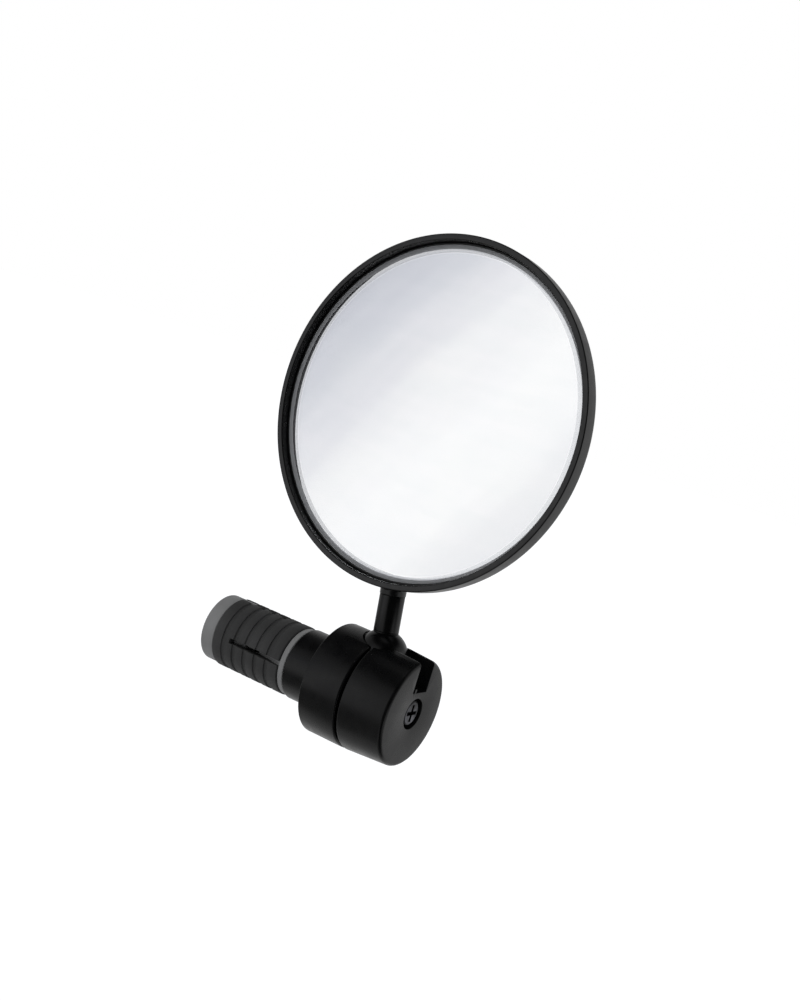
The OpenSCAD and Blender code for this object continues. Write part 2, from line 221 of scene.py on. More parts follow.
def arc(cx, cy, radius, start, end, steps):
    """Points of a circle from one angle to another, in degrees."""
    angles = [math.radians(start + (end - start) * i / steps) for i in range(steps + 1)]
    return [(cx + radius * math.cos(a), cy + radius * math.sin(a)) for a in angles]


def new_object(name, mesh):
    obj = bpy.data.objects.new(name, mesh)
    bpy.context.scene.collection.objects.link(obj)
    return obj


def from_bmesh(name, bm):
    bmesh.ops.recalc_face_normals(bm, faces=bm.faces)
    mesh = bpy.data.meshes.new(name)
    bm.to_mesh(mesh)
    bm.free()
    return new_object(name, mesh)


def lathe(name, outline, segments=SEGMENTS, shape=None):
    """Turns a closed outline of (radius, height) about Z.

    shape(radius, height, angle) can change a radius.
    """
    bm = bmesh.new()
    rings = []
    for radius, height in outline:
        if radius < 1e-6:
            rings.append([bm.verts.new((0, 0, height))])
            continue
        ring = []
        for i in range(segments):
            angle = 2 * math.pi * i / segments
            r = shape(radius, height, angle) if shape else radius
            ring.append(bm.verts.new((r * math.cos(angle), r * math.sin(angle), height)))
        rings.append(ring)
    for first, second in zip(rings, rings[1:] + rings[:1]):
        if len(first) == 1 and len(second) == 1:
            continue
        for i in range(segments):
            j = (i + 1) % segments
            near = first[i % len(first)], first[j % len(first)]
            far = second[j % len(second)], second[i % len(second)]
            corners = [*near, *far]
            bm.faces.new(list(dict.fromkeys(corners)))
    return from_bmesh(name, bm)


def block(name, low, high):
    bm = bmesh.new()
    bmesh.ops.create_cube(bm, size=1)
    for v in bm.verts:
        for axis in range(3):
            v.co[axis] = high[axis] if v.co[axis] > 0 else low[axis]
    return from_bmesh(name, bm)


def prism(name, outline, low, high):
    """An outline in X and Y, drawn out along Z from low to high."""
    bm = bmesh.new()
    bottom = [bm.verts.new((x, y, low)) for x, y in outline]
    top = [bm.verts.new((x, y, high)) for x, y in outline]
    bm.faces.new(bottom)
    bm.faces.new(top)
    for i in range(len(outline)):
        j = (i + 1) % len(outline)
        bm.faces.new((bottom[i], bottom[j], top[j], top[i]))
    return from_bmesh(name, bm)


def ball(name, centre, radius, segments=128):
    outline = [(max(r, 0.0), z) for r, z in arc(0, 0, radius, -90, 90, segments // 2)]
    outline[0], outline[-1] = (0, -radius), (0, radius)
    obj = lathe(name, outline, segments)
    return placed(obj, moved(*centre))


def placed(obj, matrix):
    obj.data.transform(matrix)
    return obj


def apply_modifiers(obj):
    bpy.context.view_layer.update()
    graph = bpy.context.evaluated_depsgraph_get()
    mesh = bpy.data.meshes.new_from_object(obj.evaluated_get(graph), depsgraph=graph)
    obj.modifiers.clear()
    obj.data = mesh
    return obj


def combine(obj, operation, *tools):
    """Adds or cuts other solids, which are used up."""
    for tool in tools:
        step = obj.modifiers.new(operation, "BOOLEAN")
        step.operation = operation
        step.solver = "EXACT"
        step.object = tool
        apply_modifiers(obj)
        bpy.data.objects.remove(tool)
    return obj


def cut(obj, *tools):
    return combine(obj, "DIFFERENCE", *tools)


def joined(obj, *tools):
    return combine(obj, "UNION", *tools)


def tidy(obj, distance=0.004):
    """Merges the slivers that a cut leaves."""
    bm = bmesh.new()
    bm.from_mesh(obj.data)
    bmesh.ops.remove_doubles(bm, verts=bm.verts, dist=distance)
    bmesh.ops.dissolve_degenerate(bm, edges=bm.edges, dist=distance)
    bm.to_mesh(obj.data)
    bm.free()
    return obj


def soften(obj, width, segments=3, angle=SHARP_ANGLE):
    """Rounds every edge that is still sharp."""
    tidy(obj)
    obj.data.shade_smooth()
    step = obj.modifiers.new("soften", "BEVEL")
    step.width = width
    step.segments = segments
    step.limit_method = "ANGLE"
    step.angle_limit = angle
    step.use_clamp_overlap = False
    step.harden_normals = False
    step.miter_outer = "MITER_ARC"
    return apply_modifiers(obj)


def finished(obj, place, body, slot, material, *nodes):
    """Puts a piece into the row frame, gives it its material, hangs it on its body and hides the CAD nodes
    it stands for. The slot argument is not used.
    """
    obj.data.transform(Matrix.Scale(MM, 4) @ place)
    obj.data.shade_smooth()
    obj.data.set_sharp_from_angle(angle=SHARP_ANGLE)
    obj.data.materials.clear()
    obj.data.materials.append(material)
    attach(obj, body)
    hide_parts(*nodes)
    return obj


# ---------- materials ----------


class Nodes:
    """A short way to wire up one material's nodes."""

    def __init__(self, name):
        self.material = bpy.data.materials.new(name)
        self.material.use_nodes = True
        self.tree = self.material.node_tree
        self.shader = self.tree.nodes["Principled BSDF"]
        self.place = self.tree.nodes.new("ShaderNodeTexCoord").outputs["Object"]

    def add(self, kind, inputs=None, **settings):
        made = self.tree.nodes.new("ShaderNode" + kind)
        for key, value in settings.items():
            setattr(made, key, value)
        for key, value in (inputs or {}).items():
            if isinstance(value, bpy.types.NodeSocket):
                self.tree.links.new(value, made.inputs[key])
            else:
                made.inputs[key].default_value = value
        return made

    def noise(self, scale, detail=2.0, roughness=0.5, vector=None):
        inputs = {"Vector": vector or self.place, "Scale": scale, "Detail": detail, "Roughness": roughness}
        return self.add("TexNoise", inputs).outputs["Fac"]

    def spread(self, value, low, high, start=0.35, end=0.65):
        """Maps a noise value to a range."""
        inputs = {"Value": value, "From Min": start, "From Max": end, "To Min": low, "To Max": high}
        return self.add("MapRange", inputs).outputs["Result"]

    def blend(self, factor, first, second):
        mix = self.tree.nodes.new("ShaderNodeMix")
        mix.data_type = "RGBA"
        ends = [s for s in mix.inputs if s.type == "RGBA"]
        ends[0].default_value = (*first, 1)
        ends[1].default_value = (*second, 1)
        self.tree.links.new(factor, mix.inputs[0])
        return next(s for s in mix.outputs if s.type == "RGBA")

    def bump(self, height, strength, distance):
        inputs = {"Height": height, "Strength": strength, "Distance": distance}
        return self.add("Bump", inputs).outputs["Normal"]

    def to(self, socket, value):
        if isinstance(value, bpy.types.NodeSocket):
            self.tree.links.new(value, self.shader.inputs[socket])
        else:
            self.shader.inputs[socket].default_value = value
        return self


def moulded(name, dark, light, rough, grain_mm, bump, specular=0.5):
    """Moulded resin, rubber or painted metal: fine grain, slow clouding of colour, uneven gloss."""
    n = Nodes(name)
    grain = n.noise(1 / (grain_mm * MM), detail=3.0, roughness=0.6)
    cloud = n.noise(1 / (9 * MM), detail=3.0)
    n.to("Base Color", n.blend(n.spread(cloud, 0.0, 1.0), dark, light))
    n.to("Roughness", n.spread(n.noise(1 / (2.2 * MM), detail=4.0), rough - 0.04, rough + 0.05))
    n.to("Normal", n.bump(grain, bump, 0.02 * MM))
    n.to("Specular IOR Level", specular)
    return n.material


def turned_metal(name, dark, light, rough, place):
    """Bare or blackened metal with the fine rings that turning leaves, in the piece's own frame."""
    n = Nodes(name)
    back = place.inverted()
    rotation = back.to_euler()
    shift = back.to_translation() * MM
    local = n.add("Mapping", {"Vector": n.place, "Location": shift, "Rotation": rotation}).outputs["Vector"]
    squeeze = n.add("Mapping", {"Vector": local, "Scale": (0.02, 0.02, 1.0)}).outputs["Vector"]
    rings = n.noise(1 / (0.12 * MM), detail=3.0, roughness=0.7, vector=squeeze)
    cloud = n.noise(1 / (3 * MM), detail=3.0)
    n.to("Base Color", n.blend(n.spread(cloud, 0.0, 1.0), dark, light))
    n.to("Roughness", n.spread(rings, rough - 0.06, rough + 0.1))
    n.to("Normal", n.bump(rings, 0.25, 0.01 * MM))
    n.to("Metallic", 1.0)
    return n.material


def grey(level, tint=(1.0, 1.0, 1.0)):
    return tuple(level * t for t in tint)


COOL = (0.96, 0.98, 1.10)

black_resin = moulded("black_resin", grey(0.0015, COOL), grey(0.0025, COOL), 0.28, 0.16, 0.04, specular=0.27)
case_resin = moulded("case_resin", grey(0.0015, COOL), grey(0.0025, COOL), 0.30, 0.14, 0.015, specular=0.50)
black_paint = moulded("black_paint", grey(0.001, COOL), grey(0.002, COOL), 0.22, 0.3, 0.05, specular=0.3)
grey_resin = moulded("grey_resin", grey(0.16), grey(0.2), 0.5, 0.2, 0.35)
pale_resin = moulded("pale_resin", (0.62, 0.6, 0.54), (0.7, 0.68, 0.62), 0.45, 0.2, 0.3)
sleeve_rubber = moulded("sleeve_rubber", grey(0.022), grey(0.034), 0.62, 0.1, 0.6)
gasket_rubber = moulded("gasket_rubber", grey(0.008), grey(0.014), 0.55, 0.08, 0.4)
black_steel = turned_metal("black_steel", grey(0.012, COOL), grey(0.03, COOL), 0.34, ALONG_BAR)
# a brighter steel for the screw head's top flats: a painted highlight
painted_highlight_steel = turned_metal("painted_highlight_steel", grey(0.03, COOL), grey(0.15, COOL), 0.3, ALONG_BAR)
bright_steel = turned_metal("bright_steel", (0.55, 0.55, 0.56), (0.66, 0.66, 0.67), 0.26, ALONG_BAR)


def foam_material():
    n = Nodes("foam")
    cells = n.add("TexVoronoi", {"Vector": n.place, "Scale": 1 / (0.35 * MM)}).outputs["Distance"]
    n.to("Base Color", n.blend(n.spread(cells, 0.0, 1.0, 0.1, 0.6), grey(0.10), grey(0.03)))
    n.to("Roughness", n.spread(n.noise(1 / (1.5 * MM)), 0.85, 0.98))
    n.to("Normal", n.bump(cells, 0.8, 0.1 * MM))
    return n.material


def clear_glass_material():
    """Clear glass with the faintest haze of wiping marks."""
    n = Nodes("clear_glass")
    marks = n.add("Mapping", {"Vector": n.place, "Rotation": (0.0, 0.6, 0.3), "Scale": (0.25, 1.0, 1.6)})
    haze = n.noise(1 / (6 * MM), detail=5.0, roughness=0.65, vector=marks.outputs["Vector"])
    n.to("Base Color", n.blend(n.spread(haze, 0.0, 1.0), (0.985, 0.99, 0.99), (1.0, 1.0, 1.0)))
    n.to("Roughness", n.spread(haze, 0.0, 0.012, 0.5, 0.8))
    n.to("Transmission Weight", 1.0)
    n.to("IOR", 1.5)
    return n.material


def ground_glass_material():
    """The ground edge of the glass: pale and matt, with fine grinding marks."""
    n = Nodes("ground_glass")
    grit = n.noise(1 / (0.12 * MM), detail=4.0, roughness=0.7)
    n.to("Base Color", n.blend(n.spread(grit, 0.0, 1.0), (0.42, 0.43, 0.45), (0.70, 0.71, 0.73)))
    n.to("Roughness", n.spread(grit, 0.35, 0.6))
    n.to("Normal", n.bump(grit, 0.6, 0.03 * MM))
    n.to("IOR", 1.5)
    return n.material


def frosted_glass_material():
    """The ground bevel: light still passes, but slightly scattered, with fine grinding marks."""
    n = Nodes("frosted_glass")
    grit = n.noise(1 / (0.12 * MM), detail=4.0, roughness=0.7)
    n.to("Base Color", n.blend(n.spread(grit, 0.0, 1.0), (0.74, 0.75, 0.78), (0.90, 0.91, 0.93)))
    n.to("Roughness", n.spread(grit, 0.02, 0.07))
    n.to("Normal", n.bump(grit, 0.15, 0.01 * MM))
    n.to("Transmission Weight", 0.7)
    n.to("IOR", 1.5)
    return n.material


def mirror_material():
    """Silver behind glass, with a slight cool cast."""
    n = Nodes("mirror_coat")
    cloud = n.noise(1 / (22 * MM), detail=3.0)
    n.to("Base Color", n.blend(n.spread(cloud, 0.0, 1.0), (0.965, 0.97, 0.985), (0.98, 0.985, 0.99)))
    n.to("Roughness", n.spread(n.noise(1 / (4 * MM), detail=4.0), 0.0, 0.02))
    n.to("Metallic", 1.0)
    return n.material


clear_glass = clear_glass_material()
ground_glass = ground_glass_material()
frosted_glass = frosted_glass_material()
mirror_coat = mirror_material()
foam_grey = foam_material()

# ---------- barrel ----------

OVER = 1.0  # how far a cutter stands past the face that it opens


def rod_x(name, radius, x0, x1, z=0.0):
    """A rod along the bar."""
    obj = lathe(name, [(0, x0), (radius, x0), (radius, x1), (0, x1)], 96)
    return placed(obj, moved(0, 0, z) @ ALONG_BAR)


def pocket_ball():
    return ball("pocket", (SEAM_X, 0, BALL_HEIGHT), POCKET_R)


def pocket_mouth():
    """The wider ring at the pocket's mouth, in the barrel's skin alone."""
    skin = lathe("skin", [
        (BARREL_R - MOUTH_DEPTH, -OVER),
        (BARREL_R + OVER, -OVER),
        (BARREL_R + OVER, BARREL_LEN + OVER),
        (BARREL_R - MOUTH_DEPTH, BARREL_LEN + OVER)])
    return combine(placed(skin, ALONG_BAR), "INTERSECT", ball("mouth", (SEAM_X, 0, BALL_HEIGHT), MOUTH_R))


def inner_collar():
    outline = fillet([
        (0, -PLUG_LEN, 0),
        (PLUG_R - PLUG_LEAD_IN, -PLUG_LEN, 0.15),
        (PLUG_R, -PLUG_LEN + PLUG_LEAD_IN, 0.15),
        (PLUG_R, 0, 0.2),
        (BARREL_R, 0, 0.3),
        (BARREL_R, COLLAR_LEN, SEAM_EDGE),
        (0, COLLAR_LEN, 0)])
    obj = placed(lathe("inner_collar_visual", outline), ALONG_BAR)
    cut(
        obj,
        rod_x("hole", SCREW_HOLE_R, -PLUG_LEN - OVER, COLLAR_LEN + OVER),
        pocket_ball(),
        pocket_mouth(),
        rod_x("pad_hole", PAD_R, PAD_FLOOR_X, SEAM_X, z=BALL_HEIGHT))
    soften(obj, SOFT_EDGE)
    return finished(obj, BAR, "bar_mount", "black_resin", black_resin, "inner_collar")


def end_cap():
    outline = fillet([
        (0, CAP_X, 0),
        (BARREL_R, CAP_X, SEAM_EDGE),
        (END_R, BARREL_LEN, END_ROUND),
        (0, BARREL_LEN, 0)], steps=8)
    obj = placed(lathe("end_cap_visual", outline), ALONG_BAR)
    cut(
        obj,
        rod_x("counterbore", COUNTERBORE_R, COUNTERBORE_FLOOR, BARREL_LEN + OVER),
        rod_x("hole", SCREW_HOLE_R, CAP_X - OVER, COUNTERBORE_FLOOR + OVER),
        pocket_ball(),
        pocket_mouth(),
        block(
            "slot",
            (SEAM_X - OVER, -SLOT_HALF_W, SLOT_FLOOR),
            (BARREL_LEN + OVER, SLOT_HALF_W, BARREL_R + OVER)))
    rib_y = RIB_GAP - SLOT_HALF_W
    rib = block(
        "rib",
        (BARREL_LEN - RIB_LEN, rib_y, SLOT_FLOOR - OVER),
        (BARREL_LEN - 0.002, rib_y + RIB_W, SLOT_FLOOR + RIB_H))
    joined(obj, rib)
    soften(obj, SOFT_EDGE)
    return finished(obj, BAR, "bar_mount", "black_resin", black_resin, "end_cap")


# ---------- clamp screw ----------


def thread_shape(start_x, end_x):
    """Cuts a helical groove into the radius of a lathe's ring between two heights."""

    def shape(radius, x, angle):
        if radius != SCREW_R or not start_x < x < end_x:
            return radius
        phase = (x / THREAD_PITCH - angle / (2 * math.pi)) % 1
        flank = max(0.0, min(1.0, (abs(phase - 0.5) - 0.07) / 0.33))
        fade = min(1.0, (end_x - x) / THREAD_PITCH)
        return radius - THREAD_DEPTH * flank * fade

    return shape


def recess_arm(turn):
    """One bar of the cross recess, narrower towards its bottom."""
    top = SCREW_SEAT_X + SCREW_HEAD_H
    half = RECESS_SPAN / 2
    foot = 0.45 * half
    outline = [(-half - 0.4, top + OVER), (half + 0.4, top + OVER), (half, top), (foot, top - RECESS_DEPTH),
               (-foot, top - RECESS_DEPTH), (-half, top)]
    obj = prism("arm", outline, -RECESS_W / 2, RECESS_W / 2)
    for v in obj.data.vertices:
        if v.co.y < top - 0.1:
            v.co.z *= 0.75
    # the outline's X and Y become across the head and along the bar
    return placed(obj, turned(turn, "X") @ Matrix(((0, 1, 0, 0), (1, 0, 0, 0), (0, 0, -1, 0), (0, 0, 0, 1))))


def clamp_screw():
    head_x = SCREW_SEAT_X + SCREW_HEAD_H
    rings = round((THREAD_END_X - SCREW_TIP_X) / THREAD_PITCH * THREAD_STEPS)
    thread = [(SCREW_R, THREAD_START_X + (THREAD_END_X - THREAD_START_X) * i / rings) for i in range(rings)]
    outline = [(0, SCREW_TIP_X), (SCREW_R - 0.5, SCREW_TIP_X), *thread, (SCREW_R, THREAD_END_X)]
    outline += fillet([
        (SCREW_R, SCREW_SEAT_X, 0.1),
        (SCREW_HEAD_R, SCREW_SEAT_X, 0.12),
        (SCREW_HEAD_R, head_x, SCREW_HEAD_ROUND),
        (0, head_x, 0)], steps=8)
    obj = lathe("clamp_screw_visual", outline, 96, thread_shape(THREAD_START_X, THREAD_END_X))
    placed(obj, ALONG_BAR)
    cut(obj, recess_arm(0), recess_arm(90))
    finished(obj, BAR, "clamp_screw", "black_steel", black_steel, "clamp_screw")
    # the head's top flats get the brighter steel, a painted highlight
    obj.data.materials.append(painted_highlight_steel)
    for face in obj.data.polygons:
        face.material_index = 1 if face.normal.x > 0.97 and face.center.x > (head_x - 0.1) * MM else 0
    return obj


# ---------- expander ----------


def front_cone():
    outline = fillet([
        (SCREW_HOLE_R, -PLUG_LEN, 0.1),
        (FLANGE_R, -PLUG_LEN, 0.25),
        (FLANGE_R, FRONT_FLANGE_X, 0.25),
        (CONE_BIG_R, FRONT_FLANGE_X, 0.05),
        (CONE_SMALL_R, FRONT_FLANGE_X - CONE_LEN, 0.25),
        (SCREW_HOLE_R, FRONT_FLANGE_X - CONE_LEN, 0.1)])
    obj = placed(lathe("front_cone_visual", outline), ALONG_BAR)
    return finished(obj, BAR, "bar_mount", "grey_resin", grey_resin, "front_cone")


def hexagon(radius):
    return arc(0, 0, radius, 0, 300, 5)


def rear_cone():
    outline = fillet([
        (SCREW_HOLE_R, REAR_FLANGE_X + CONE_LEN, 0.1),
        (CONE_SMALL_R, REAR_FLANGE_X + CONE_LEN, 0.25),
        (CONE_BIG_R, REAR_FLANGE_X, 0.05),
        (FLANGE_R, REAR_FLANGE_X, 0.25),
        (FLANGE_R, REAR_END_X, 0.35),
        (SCREW_HOLE_R, REAR_END_X, 0.1)])
    obj = placed(lathe("rear_cone_visual", outline), ALONG_BAR)
    pocket = prism("pocket", hexagon(NUT_R + NUT_GAP), REAR_END_X - OVER, REAR_END_X + NUT_T)
    key = block(
        "key",
        (REAR_FLANGE_X - OVER, -KEY_W / 2, -KEY_R),
        (REAR_FLANGE_X + CONE_LEN / 2, KEY_W / 2, KEY_R))
    joined(obj, cut(key, rod_x("clear", SCREW_HOLE_R + 0.5, REAR_END_X, REAR_FLANGE_X + CONE_LEN)))
    cut(obj, placed(pocket, ALONG_BAR))
    soften(obj, 0.12)
    return finished(obj, BAR, "expander_wedge", "grey_resin", grey_resin, "rear_cone")


def captive_nut():
    obj = placed(prism("captive_nut_visual", hexagon(NUT_R), REAR_END_X, REAR_END_X + NUT_T), ALONG_BAR)
    # the chamfer that turning leaves on a nut's corners
    cone = lathe("cone", [
        (0, REAR_END_X - OVER),
        (NUT_R * 0.9 - OVER * 1.7, REAR_END_X - OVER),
        (NUT_R * 1.35, REAR_END_X + 0.9),
        (NUT_R * 1.35, REAR_END_X + NUT_T + OVER),
        (0, REAR_END_X + NUT_T + OVER)])
    combine(obj, "INTERSECT", placed(cone, ALONG_BAR))
    bore = lathe("bore", [
        (0, REAR_END_X - OVER),
        (SCREW_R + 0.4 + OVER, REAR_END_X - OVER),
        (SCREW_R + FIT_GAP, REAR_END_X + 0.35),
        (SCREW_R + FIT_GAP, REAR_END_X + NUT_T + OVER),
        (0, REAR_END_X + NUT_T + OVER)])
    cut(obj, placed(bore, ALONG_BAR))
    soften(obj, 0.08)
    return finished(obj, BAR, "expander_wedge", "bright_steel", bright_steel, "captive_nut")


def sleeve_outline():
    """The sleeve's wall with its grooves and two conical mouths, from the rear to the front."""
    slope = (CONE_BIG_R - CONE_SMALL_R) / CONE_LEN
    mouth = (CONE_BIG_R + FIT_GAP - SLEEVE_BORE_R) / slope
    lead = (SLEEVE_REAR_X - REAR_FLANGE_X) * slope
    corners = [(CONE_BIG_R + FIT_GAP - lead, SLEEVE_REAR_X, 0.1), (SLEEVE_R, SLEEVE_REAR_X, 0.3)]
    for i in range(1, GROOVES + 1):
        middle = SLEEVE_REAR_X + (SLEEVE_FRONT_X - SLEEVE_REAR_X) * i / (GROOVES + 1)
        for side, near in ((-1, True), (1, False)):
            edge = middle + side * GROOVE_W / 2
            wall = [(SLEEVE_R, edge, 0.15), (SLEEVE_R - GROOVE_DEPTH, edge, 0.12)]
            corners += wall if near else wall[::-1]
    corners += [
        (SLEEVE_R, SLEEVE_FRONT_X, 0.3),
        (CONE_BIG_R + FIT_GAP - lead, SLEEVE_FRONT_X, 0.1),
        (SLEEVE_BORE_R, FRONT_FLANGE_X - mouth, 0.3),
        (SLEEVE_BORE_R, REAR_FLANGE_X + mouth, 0.3)]
    return fillet(corners, steps=3)


def expander_sleeve():
    obj = placed(lathe("expander_sleeve_visual", sleeve_outline()), ALONG_BAR)
    half = SLIT_W / 2
    wide = 2 * SLEEVE_R
    cut(
        obj,
        block("slit", (SLEEVE_FRONT_X - SLIT_LEN, -wide, -half), (SLEEVE_FRONT_X + OVER, wide, half)),
        block("slit", (SLEEVE_REAR_X - OVER, -half, -wide), (SLEEVE_REAR_X + SLIT_LEN, half, wide)))
    soften(obj, 0.12, 2, math.radians(50))
    return finished(obj, BAR, "bar_mount", "sleeve_rubber", sleeve_rubber, "expander_sleeve")


# ---------- ball and stem ----------


def stem_ball():
    flat_angle = math.degrees(math.asin(BALL_FLAT / BALL_R))
    hole_floor = -TENON_DROP - 0.1
    low_angle = -math.degrees(math.acos(BALL_SCREW_SINK_R / BALL_R))
    skin = arc(0, 0, BALL_R, low_angle, flat_angle - 1.5, 72)
    inner = fillet([
        (TENON_HOLE_R, BALL_FLAT, 0.1),
        (TENON_HOLE_R, hole_floor, 0),
        (BALL_SCREW_R + 0.1, hole_floor, 0),
        (BALL_SCREW_R + 0.1, skin[0][1] + 1.0, 0)])
    rim = BALL_R * math.cos(math.radians(flat_angle))
    obj = lathe("stem_ball_visual", [*skin, (rim - 0.06, BALL_FLAT), *inner], 160)
    return finished(obj, STEM, "ball", "black_painted_metal", black_paint, "stem_ball")


def ball_washer():
    outline = fillet([
        (TENON_HOLE_R, BALL_FLAT, 0.05),
        (STEM_R, BALL_FLAT, 0.08),
        (STEM_R, STEM_FOOT, 0.08),
        (TENON_HOLE_R, STEM_FOOT, 0.05)])
    obj = lathe("ball_washer_visual", outline)
    return finished(obj, STEM, "ball", "black_resin", black_resin, "ball_washer")


def stem_rod():
    outline = fillet([
        (BALL_SCREW_R, -TENON_DROP, 0),
        (TENON_R, -TENON_DROP, 0.15),
        (TENON_R, STEM_FOOT, 0),
        (STEM_R, STEM_FOOT, 0.2),
        (STEM_R, STEM_SHOULDER, 0.05),
        (BALL_SCREW_R, STEM_SHOULDER, 0),
        (BALL_SCREW_R, STEM_SHOULDER + TOP_TENON_LEN, 0.2),
        (0, STEM_SHOULDER + TOP_TENON_LEN, 0),
        (0, -TENON_DROP + BALL_SCREW_LEN, 0),
        (BALL_SCREW_R, -TENON_DROP + BALL_SCREW_LEN, 0)])
    obj = lathe("stem_rod_visual", outline)
    return finished(obj, STEM, "mirror_head", "black_painted_metal", black_paint, "stem_rod")


# ---------- mirror head ----------

HEAD_SEGMENTS = 256


def case_back():
    """The back's outline from the side wall over the rounded corner and the dome to the centre."""
    rise = CASE_DEPTH - SIDE_H
    corner_r = HEAD_R - BACK_ROUND
    dome_r = (corner_r**2 + rise**2 - BACK_ROUND**2) / (2 * (rise - BACK_ROUND))
    dome_z = dome_r - CASE_DEPTH
    meeting = math.degrees(math.atan2(-SIDE_H - dome_z, corner_r))
    dome = arc(0, dome_z, dome_r, meeting, -90, 24)[1:-1]
    return [*arc(corner_r, -SIDE_H, BACK_ROUND, 0, meeting, 10), *dome, (0, -CASE_DEPTH)]


def mirror_case():
    pocket = [
        (0, FOAM_FLOOR_Z),
        (FOAM_POCKET_R, FOAM_FLOOR_Z),
        (FOAM_POCKET_R, LEDGE_Z),
        (POCKET_WALL_R, LEDGE_Z)]
    rim = fillet([
        (POCKET_WALL_R, LEDGE_Z, 0),
        (POCKET_WALL_R, 0, LIP_ROUND),
        (HEAD_R, 0, RIM_ROUND),
        (HEAD_R, -SIDE_H, 0)], steps=10)[1:-1]
    obj = lathe("mirror_case_visual", pocket + rim + case_back(), HEAD_SEGMENTS)
    neck = lathe("neck", [
        *fillet([(0, 0, 0), (NECK_R, 0, 0.3), (NECK_R, NECK_LEN, 0)])[:-1],
        *arc(0, NECK_LEN, NECK_R, 0, 88, 16),
        (0, NECK_LEN + NECK_R)], 96)
    placed(neck, FACE.inverted() @ STEM @ moved(0, 0, STEM_SHOULDER))
    cut(neck, lathe("pocket", [
        (0, FOAM_FLOOR_Z - NECK_INSET),
        (FOAM_POCKET_R + NECK_INSET, FOAM_FLOOR_Z - NECK_INSET),
        (FOAM_POCKET_R + NECK_INSET, LEDGE_Z - NECK_INSET),
        (POCKET_WALL_R + NECK_INSET, LEDGE_Z - NECK_INSET),
        (POCKET_WALL_R + NECK_INSET, OVER),
        (0, OVER)], HEAD_SEGMENTS))
    joined(obj, neck)
    soften_joint(obj)
    return finished(obj, FACE, "mirror_head", "case_resin", case_resin, "mirror_case")


def in_pocket(point):
    """True for the corners of the pocket's floor and ledge, which stay sharp."""
    return abs(point.z - FOAM_FLOOR_Z) < 0.001 or abs(point.z - LEDGE_Z) < 0.001


def soften_joint(obj, width=0.35):
    """Fills the corner where the neck runs into the case."""
    bm = bmesh.new()
    bm.from_mesh(obj.data)
    bmesh.ops.remove_doubles(bm, verts=bm.verts, dist=0.01)
    bmesh.ops.dissolve_degenerate(bm, edges=bm.edges, dist=0.01)
    edges = [e for e in bm.edges if len(e.link_faces) == 2 and e.calc_face_angle_signed() < -0.3
             and not all(in_pocket(v.co) for v in e.verts)]
    bmesh.ops.bevel(
        bm, geom=edges, offset=width, offset_type="OFFSET", segments=4, profile=0.5, affect="EDGES",
        clamp_overlap=False)
    bm.to_mesh(obj.data)
    bm.free()


def sag(r):
    return GLASS_CURVE_R - math.sqrt(GLASS_CURVE_R**2 - r**2)


def glass_front(r):
    return sag(GLASS_R) - GLASS_SINK - sag(r)


def glass_back(r):
    return glass_front(r) - GLASS_T


def radii(last, steps=16):
    return [last * i / steps for i in range(steps + 1)]


# A face of the glass that looks less squarely forward than the first is its edge, than the second its bevel
EDGE_FACING = 0.9
BEVEL_FACING = 0.99


def mirror_glass():
    face_r = GLASS_R - GLASS_BEVEL_W
    front = [(r, glass_front(r)) for r in [*radii(face_r - GLASS_EDGE), face_r]]
    edge = [
        (face_r + 0.5 * GLASS_BEVEL_W, glass_front(GLASS_R) - 0.45 * GLASS_BEVEL_H),
        (GLASS_R, glass_front(GLASS_R) - GLASS_BEVEL_H)]
    back = [(r, glass_back(r)) for r in reversed(radii(GLASS_R))]
    obj = lathe("mirror_glass_visual", front + edge + back, HEAD_SEGMENTS)
    finished(obj, FACE, "mirror_head", "clear_glass", clear_glass, "mirror_glass")
    obj.data.materials.append(frosted_glass)
    obj.data.materials.append(ground_glass)
    out = FACE.to_3x3() @ Vector((0, 0, 1))
    for face in obj.data.polygons:
        facing = abs(face.normal.dot(out))
        face.material_index = 2 if facing < EDGE_FACING else 1 if facing < BEVEL_FACING else 0
    return obj


def reflective_coat():
    """The silver behind the glass. Black lacquer seals its edge."""
    rings = [*radii(COAT_R - COAT_SEAL_W), COAT_R]
    front = [(r, glass_back(r) - COAT_LIFT) for r in rings]
    back = [(r, glass_back(r) - COAT_T) for r in reversed(rings)]
    obj = lathe("reflective_coat_visual", front + back, HEAD_SEGMENTS)
    sealed = [math.hypot(*face.center.xy) > COAT_R - COAT_SEAL_W for face in obj.data.polygons]
    finished(obj, FACE, "mirror_head", "mirror_coat", mirror_coat, "reflective_coat")
    obj.data.materials.append(gasket_rubber)
    for face, on_seal in zip(obj.data.polygons, sealed):
        face.material_index = int(on_seal)
    return obj


def edge_gasket():
    outer = POCKET_WALL_R - FIT_GAP
    inner = GLASS_R + FIT_GAP
    outline = fillet([
        (inner, LEDGE_Z + FIT_GAP, 0.05),
        (outer, LEDGE_Z + FIT_GAP, 0.05),
        (outer, GASKET_TOP_Z, 0.15),
        (inner, GASKET_TOP_Z, 0.15)])
    obj = lathe("edge_gasket_visual", outline, HEAD_SEGMENTS)
    return finished(obj, FACE, "mirror_head", "gasket_rubber", gasket_rubber, "edge_gasket")


